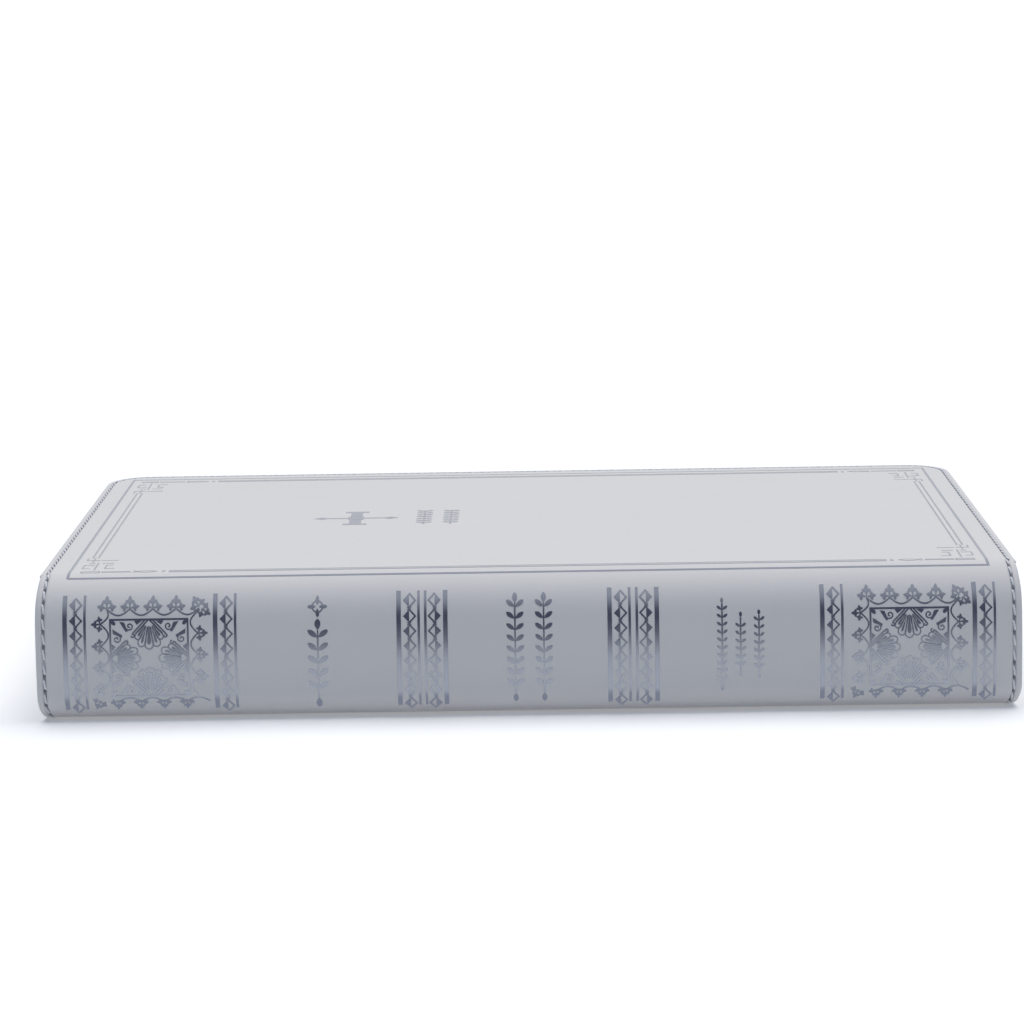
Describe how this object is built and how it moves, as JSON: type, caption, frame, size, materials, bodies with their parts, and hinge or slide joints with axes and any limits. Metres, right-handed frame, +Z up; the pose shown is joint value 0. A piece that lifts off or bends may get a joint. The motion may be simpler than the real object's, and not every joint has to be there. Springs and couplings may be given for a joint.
{
  "type": "bible",
  "caption": "Thick book with a soft, edge-stitched leather-look cover, foil ornament, sewn paper sections, woven end bands and a ribbon marker; both covers open and the leaves fan with them.",
  "frame": {"origin": "middle of the footprint, on the surface that the back cover rests on", "axes": "+X along the spine from head to tail, +Y from the spine to the fore edge, +Z up from the back cover to the front cover"},
  "size_m": [0.22, 0.146, 0.032],
  "materials": {
    "cover_leather": "fine-grained satin imitation leather",
    "cover_board": "grey-brown card",
    "endpaper": "plain matt endpaper",
    "page_paper": "thin matt paper, silvered at the edges",
    "silver_foil": "hot-stamped silver foil",
    "seam_thread": "waxed sewing thread",
    "binding_thread": "linen thread",
    "mull_cloth": "open-weave starched cotton",
    "lining_paper": "brown kraft paper",
    "band_cloth": "woven cotton band over a cord",
    "ribbon_satin": "satin ribbon"
  },
  "bodies": {
    "text_block": {"spine_leather": "cover_leather", "spine_stiffener": "cover_board", "spine_stitching": "seam_thread", "spine_foil": "silver_foil", "spine_paper_lining": "lining_paper", "spine_mull": "mull_cloth", "sewing_thread": "binding_thread", "head_band": "band_cloth", "tail_band": "band_cloth", "ribbon_marker": "ribbon_satin", "section_07": "page_paper", "section_08": "page_paper", "section_09": "page_paper", "section_10": "page_paper", "section_11": "page_paper", "section_12": "page_paper", "section_13": "page_paper", "section_14": "page_paper", "section_15": "page_paper", "section_16": "page_paper", "section_17": "page_paper", "section_18": "page_paper", "section_19": "page_paper", "section_20": "page_paper", "section_21": "page_paper", "section_22": "page_paper"},
    "front_cover": {"front_leather": "cover_leather", "front_board": "cover_board", "front_pastedown": "endpaper", "front_stitching": "seam_thread", "front_foil": "silver_foil"},
    "front_flyleaf": {"front_flyleaf": "endpaper"},
    "section_01": {"section_01": "page_paper"},
    "section_02": {"section_02": "page_paper"},
    "section_03": {"section_03": "page_paper"},
    "section_04": {"section_04": "page_paper"},
    "section_05": {"section_05": "page_paper"},
    "section_06": {"section_06": "page_paper"},
    "back_cover": {"back_leather": "cover_leather", "back_board": "cover_board", "back_pastedown": "endpaper", "back_stitching": "seam_thread", "back_foil": "silver_foil"},
    "back_flyleaf": {"back_flyleaf": "endpaper"},
    "section_25": {"section_25": "page_paper"},
    "section_24": {"section_24": "page_paper"},
    "section_23": {"section_23": "page_paper"}
  },
  "joints": [
    {"name": "front_cover_hinge", "type": "hinge", "parent": "text_block", "child": "front_cover", "pos_m": [0, -0.07213, 0.02315], "axis": [1, 0, 0], "range_deg": [0, 179]},
    {"name": "back_cover_hinge", "type": "hinge", "parent": "text_block", "child": "back_cover", "pos_m": [0, -0.07289, 0.00555], "axis": [-1, 0, 0], "range_deg": [0, 179]},
    {"name": "front_flyleaf_turn", "type": "hinge", "parent": "text_block", "child": "front_flyleaf", "pos_m": [0, -0.07213, 0.02315], "axis": [1, 0, 0], "range_deg": [0, 169]},
    {"name": "section_01_turn", "type": "hinge", "parent": "text_block", "child": "section_01", "pos_m": [0, -0.07213, 0.02315], "axis": [1, 0, 0], "range_deg": [0, 151]},
    {"name": "section_02_turn", "type": "hinge", "parent": "text_block", "child": "section_02", "pos_m": [0, -0.07213, 0.02315], "axis": [1, 0, 0], "range_deg": [0, 130]},
    {"name": "section_03_turn", "type": "hinge", "parent": "text_block", "child": "section_03", "pos_m": [0, -0.07213, 0.02315], "axis": [1, 0, 0], "range_deg": [0, 107]},
    {"name": "section_04_turn", "type": "hinge", "parent": "text_block", "child": "section_04", "pos_m": [0, -0.07213, 0.02315], "axis": [1, 0, 0], "range_deg": [0, 82]},
    {"name": "section_05_turn", "type": "hinge", "parent": "text_block", "child": "section_05", "pos_m": [0, -0.07213, 0.02315], "axis": [1, 0, 0], "range_deg": [0, 56]},
    {"name": "section_06_turn", "type": "hinge", "parent": "text_block", "child": "section_06", "pos_m": [0, -0.07213, 0.02315], "axis": [1, 0, 0], "range_deg": [0, 31]},
    {"name": "back_flyleaf_turn", "type": "hinge", "parent": "text_block", "child": "back_flyleaf", "pos_m": [0, -0.07289, 0.00555], "axis": [-1, 0, 0], "range_deg": [0, 179]},
    {"name": "section_25_turn", "type": "hinge", "parent": "text_block", "child": "section_25", "pos_m": [0, -0.07289, 0.00555], "axis": [-1, 0, 0], "range_deg": [0, 179]},
    {"name": "section_24_turn", "type": "hinge", "parent": "text_block", "child": "section_24", "pos_m": [0, -0.07289, 0.00555], "axis": [-1, 0, 0], "range_deg": [0, 179]},
    {"name": "section_23_turn", "type": "hinge", "parent": "text_block", "child": "section_23", "pos_m": [0, -0.07289, 0.00555], "axis": [-1, 0, 0], "range_deg": [0, 178]}
  ],
  "couplings": [
    {"joint": "front_flyleaf_turn", "follows": "front_cover_hinge", "ratio": 0.94},
    {"joint": "section_01_turn", "follows": "front_cover_hinge", "ratio": 0.84},
    {"joint": "section_02_turn", "follows": "front_cover_hinge", "ratio": 0.72},
    {"joint": "section_03_turn", "follows": "front_cover_hinge", "ratio": 0.59},
    {"joint": "section_04_turn", "follows": "front_cover_hinge", "ratio": 0.45},
    {"joint": "section_05_turn", "follows": "front_cover_hinge", "ratio": 0.31},
    {"joint": "section_06_turn", "follows": "front_cover_hinge", "ratio": 0.17},
    {"joint": "back_flyleaf_turn", "follows": "back_cover_hinge", "ratio": 0.997},
    {"joint": "section_25_turn", "follows": "back_cover_hinge", "ratio": 0.995},
    {"joint": "section_24_turn", "follows": "back_cover_hinge", "ratio": 0.9925},
    {"joint": "section_23_turn", "follows": "back_cover_hinge", "ratio": 0.99}
  ]
}
